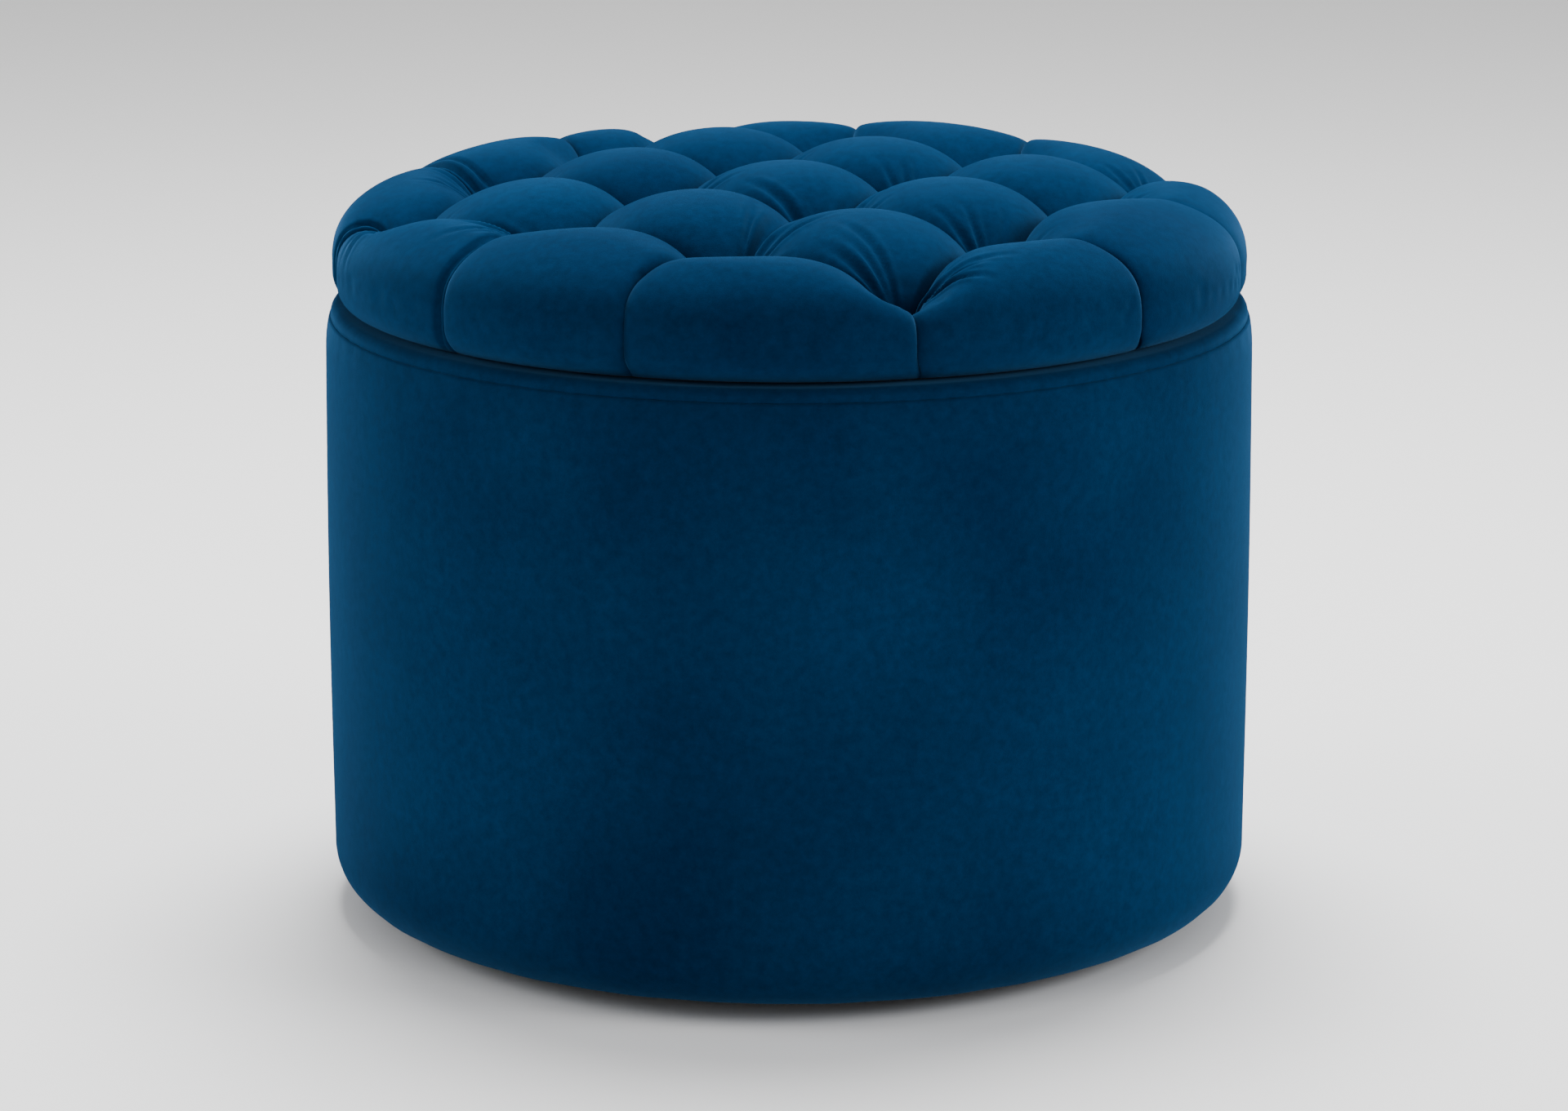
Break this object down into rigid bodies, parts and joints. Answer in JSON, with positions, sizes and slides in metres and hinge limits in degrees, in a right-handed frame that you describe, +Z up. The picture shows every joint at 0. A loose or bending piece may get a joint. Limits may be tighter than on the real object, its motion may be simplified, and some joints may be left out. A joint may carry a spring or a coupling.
{
  "type": "storage ottoman",
  "caption": "Round upholstered storage ottoman: a velvet-covered drum with an open well under a padded, button-tufted lid that lifts off.",
  "frame": {"origin": "on the floor, at the centre of the drum", "axes": "+Z up along the drum's axis, -Y towards the front"},
  "size_m": [0.6, 0.5998, 0.5],
  "materials": {
    "velvet": "deep blue short-pile velvet with a soft nap sheen",
    "foam": "open-cell upholstery foam",
    "wadding": "fluffy polyester wadding",
    "lining": "fine black woven lining",
    "dust_cloth": "thin black non-woven dust cloth",
    "twine": "waxed tufting twine",
    "frame_timber": "sawn softwood",
    "board": "raw fibreboard",
    "hardboard": "thin dark hardboard",
    "glide_plastic": "black moulded plastic",
    "zinc_steel": "zinc-plated steel",
    "staple_steel": "bright steel wire"
  },
  "bodies": {
    "base": {"foot_glide_1": "glide_plastic", "foot_glide_2": "glide_plastic", "foot_glide_3": "glide_plastic", "foot_glide_4": "glide_plastic", "glide_screws": "zinc_steel", "dust_cover": "dust_cloth", "underside_staples": "staple_steel", "bottom_board": "board", "lower_frame_ring": "frame_timber", "upper_frame_ring": "frame_timber", "frame_post_1": "frame_timber", "frame_post_2": "frame_timber", "frame_post_3": "frame_timber", "frame_post_4": "frame_timber", "frame_post_5": "frame_timber", "frame_post_6": "frame_timber", "frame_post_7": "frame_timber", "frame_post_8": "frame_timber", "frame_screws": "zinc_steel", "outer_wall_board": "hardboard", "inner_wall_board": "hardboard", "outer_board_pins": "zinc_steel", "inner_board_pins": "zinc_steel", "wall_foam": "foam", "side_cover": "velvet", "rim_padding": "wadding", "rim_band": "velvet", "rim_staples": "staple_steel", "wall_lining": "lining", "floor_panel": "hardboard", "floor_lining": "lining"},
    "lid": {"lid_board": "board", "lid_lining": "lining", "locating_ring": "board", "locating_ring_screws": "zinc_steel", "lid_foam": "foam", "lid_wadding": "wadding", "lid_cover": "velvet", "lid_staples": "staple_steel", "tuft_buttons": "velvet", "tuft_twines": "twine", "twine_washers": "staple_steel"}
  },
  "joints": [
    {"name": "lid_lift", "type": "slide", "parent": "base", "child": "lid", "axis": [0, 0, 1], "range_m": [0, 0.3]}
  ]
}
